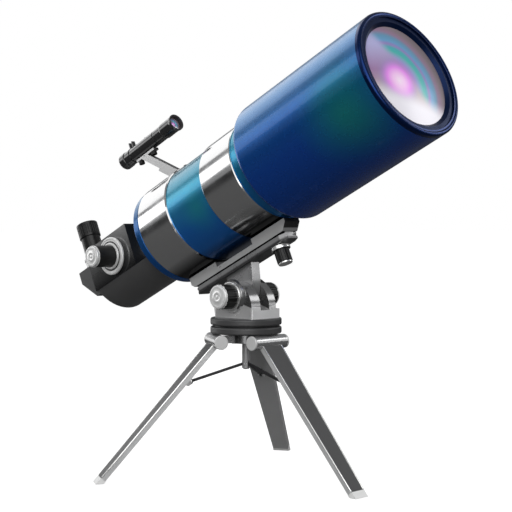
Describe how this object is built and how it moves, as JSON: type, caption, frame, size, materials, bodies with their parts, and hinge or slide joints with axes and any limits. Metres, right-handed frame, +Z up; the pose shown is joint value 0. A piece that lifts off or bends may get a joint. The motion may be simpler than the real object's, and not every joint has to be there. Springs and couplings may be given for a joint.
{
  "type": "maksutov telescope",
  "caption": "Tabletop maksutov telescope: folded optical tube with finder and star diagonal, on a tilting saddle, turning head and folding three-leg stand.",
  "frame": {"origin": "on the ground, at the middle of the whole telescope's length and width, with the tube raised 25 degrees and the legs open", "axes": "+Z up; +X horizontally towards the sky end of the tube; +Y to the right of someone at the front looking back at the eyepiece, away from the focus knob"},
  "size_m": [0.6808, 0.37, 0.5979],
  "materials": {
    "stand_paint": "satin dark grey",
    "hub_metal": "cast and polished",
    "leg_paint": "satin grey with bright edges",
    "cap_plastic": "light grey",
    "foot_pad": "light grey",
    "steel": "turned",
    "washer": "black",
    "head_metal": "glossy cast",
    "knob": "fluted black with a bright cap",
    "saddle_metal": "satin",
    "ring_metal": "polished",
    "tube_paint": "glossy metallic blue",
    "barrel_paint": "glossy metallic navy",
    "rim_paint": "glossy navy",
    "inner_black": "matt black",
    "lens_glass": "coated",
    "mirror": "aluminised",
    "housing_paint": "satin dark grey",
    "rubber_cup": "ribbed black",
    "finder_black": "gloss black"
  },
  "bodies": {
    "stand": {"tripod_hub": "hub_metal", "azimuth_plate_lower": "stand_paint", "azimuth_washer": "washer", "spindle_nut": "steel", "leg_hinge_pins": "steel"},
    "leg_front": {"leg_front": "leg_paint", "hinge_caps_front": "cap_plastic", "foot_front": "foot_pad"},
    "leg_left": {"leg_left": "leg_paint", "hinge_caps_left": "cap_plastic", "foot_left": "foot_pad"},
    "leg_right": {"leg_right": "leg_paint", "hinge_caps_right": "cap_plastic", "foot_right": "foot_pad"},
    "centre_post": {"centre_post": "leg_paint", "brace_pivot_pins": "steel"},
    "brace_front": {"brace_front": "leg_paint"},
    "brace_left": {"brace_left": "leg_paint"},
    "brace_right": {"brace_right": "leg_paint"},
    "head": {"azimuth_plate_upper": "stand_paint", "head_block": "head_metal", "altitude_bolt": "steel", "altitude_washers": "steel"},
    "altitude_knob_left": {"altitude_knob_left": "knob"},
    "altitude_knob_right": {"altitude_knob_right": "knob"},
    "saddle": {"saddle": "saddle_metal", "saddle_tongue": "head_metal"},
    "saddle_knob": {"saddle_knob": "knob"},
    "optical_tube": {"dovetail_plate": "ring_metal", "dovetail_screws": "steel", "tube_ring_front": "ring_metal", "tube_ring_rear": "ring_metal", "main_tube": "tube_paint", "barrel_adapter": "tube_paint", "objective_barrel": "barrel_paint", "front_rim": "rim_paint", "corrector_cell": "inner_black", "corrector_lens": "lens_glass", "secondary_mirror": "mirror", "primary_mirror": "mirror", "mirror_cell": "inner_black", "baffle_tube": "inner_black", "rear_rim": "barrel_paint", "rear_housing": "housing_paint", "focuser_neck": "ring_metal", "focuser_box": "housing_paint", "focus_flange": "ring_metal", "finder_bracket": "ring_metal", "finder_screws": "knob"},
    "focus_knob": {"focus_knob": "knob"},
    "drawtube": {"drawtube": "ring_metal"},
    "diagonal": {"diagonal_housing": "housing_paint", "diagonal_mirror": "mirror", "eyepiece_holder": "ring_metal"},
    "eyepiece_lock_screw": {"eyepiece_lock_screw": "knob"},
    "eyepiece": {"eyepiece_barrel": "ring_metal", "eyepiece_body": "rubber_cup", "eyepiece_lenses": "lens_glass"},
    "finder": {"finder_tube": "finder_black", "finder_lenses": "lens_glass"}
  },
  "joints": [
    {"name": "leg_front_fold", "type": "hinge", "parent": "stand", "child": "leg_front", "pos_m": [0.0669, 0, 0.1836], "axis": [0, 1, 0], "range_deg": [0, 31]},
    {"name": "leg_left_fold", "type": "hinge", "parent": "stand", "child": "leg_left", "pos_m": [0.00435, -0.03611, 0.1836], "axis": [0.866, -0.5, 0], "range_deg": [0, 31]},
    {"name": "leg_right_fold", "type": "hinge", "parent": "stand", "child": "leg_right", "pos_m": [0.00435, 0.03611, 0.1836], "axis": [-0.866, -0.5, 0], "range_deg": [0, 31]},
    {"name": "centre_post_slide", "type": "slide", "parent": "stand", "child": "centre_post", "axis": [0, 0, 1], "range_m": [0, 0.0325]},
    {"name": "brace_front_fold", "type": "hinge", "parent": "centre_post", "child": "brace_front", "pos_m": [0.0288, 0, 0.152], "axis": [0, 1, 0], "range_deg": [0, 41.4]},
    {"name": "brace_left_fold", "type": "hinge", "parent": "centre_post", "child": "brace_left", "pos_m": [0.0234, -0.00312, 0.152], "axis": [0.866, -0.5, 0], "range_deg": [0, 41.4]},
    {"name": "brace_right_fold", "type": "hinge", "parent": "centre_post", "child": "brace_right", "pos_m": [0.0234, 0.00312, 0.152], "axis": [-0.866, -0.5, 0], "range_deg": [0, 41.4]},
    {"name": "azimuth_turn", "type": "hinge", "parent": "stand", "child": "head", "pos_m": [0.0252, 0, 0.205], "axis": [0, 0, 1], "continuous": true},
    {"name": "altitude_knob_left_turn", "type": "hinge", "parent": "head", "child": "altitude_knob_left", "pos_m": [0.0252, 0, 0.244], "axis": [0, -1, 0], "range_deg": [0, 180]},
    {"name": "altitude_knob_right_turn", "type": "hinge", "parent": "head", "child": "altitude_knob_right", "pos_m": [0.0252, 0, 0.244], "axis": [0, 1, 0], "range_deg": [0, 180]},
    {"name": "altitude_tilt", "type": "hinge", "parent": "head", "child": "saddle", "pos_m": [0.0252, 0, 0.244], "axis": [0, -1, 0], "range_deg": [-30, 35]},
    {"name": "saddle_knob_turn", "type": "hinge", "parent": "saddle", "child": "saddle_knob", "pos_m": [0.08914, 0, 0.31155], "axis": [0.4226, 0, -0.9063], "range_deg": [0, 180]},
    {"name": "tube_slide", "type": "slide", "parent": "saddle", "child": "optical_tube", "axis": [0.9063, 0, 0.4226], "range_m": [-0.02, 0.02]},
    {"name": "focus_knob_turn", "type": "hinge", "parent": "optical_tube", "child": "focus_knob", "pos_m": [-0.19565, 0, 0.29406], "axis": [0, 1, 0], "range_deg": [0, 239]},
    {"name": "drawtube_slide", "type": "slide", "parent": "optical_tube", "child": "drawtube", "axis": [-0.9063, 0, -0.4226], "range_m": [0, 0.025]},
    {"name": "diagonal_turn", "type": "hinge", "parent": "drawtube", "child": "diagonal", "pos_m": [-0.25154, 0, 0.26248], "axis": [0.9063, 0, 0.4226], "range_deg": [-90, 90]},
    {"name": "lock_screw_turn", "type": "hinge", "parent": "diagonal", "child": "eyepiece_lock_screw", "pos_m": [-0.29805, 0, 0.27941], "axis": [0, 1, 0], "range_deg": [0, 180]},
    {"name": "eyepiece_slide", "type": "slide", "parent": "diagonal", "child": "eyepiece", "axis": [-0.4226, 0, 0.9063], "range_m": [0, 0.02]},
    {"name": "finder_aim", "type": "hinge", "parent": "optical_tube", "child": "finder", "pos_m": [-0.18237, 0, 0.4395], "axis": [0, -1, 0], "range_deg": [-1.5, 1.5]}
  ],
  "couplings": [
    {"joint": "leg_left_fold", "follows": "leg_front_fold", "ratio": 1},
    {"joint": "leg_right_fold", "follows": "leg_front_fold", "ratio": 1},
    {"joint": "centre_post_slide", "follows": "leg_front_fold", "m_per_rad": 0.060015},
    {"joint": "brace_front_fold", "follows": "leg_front_fold", "ratio": 1.3339},
    {"joint": "brace_left_fold", "follows": "leg_front_fold", "ratio": 1.3339},
    {"joint": "brace_right_fold", "follows": "leg_front_fold", "ratio": 1.3339},
    {"joint": "focus_knob_turn", "follows": "drawtube_slide", "rad_per_m": 166.67}
  ]
}
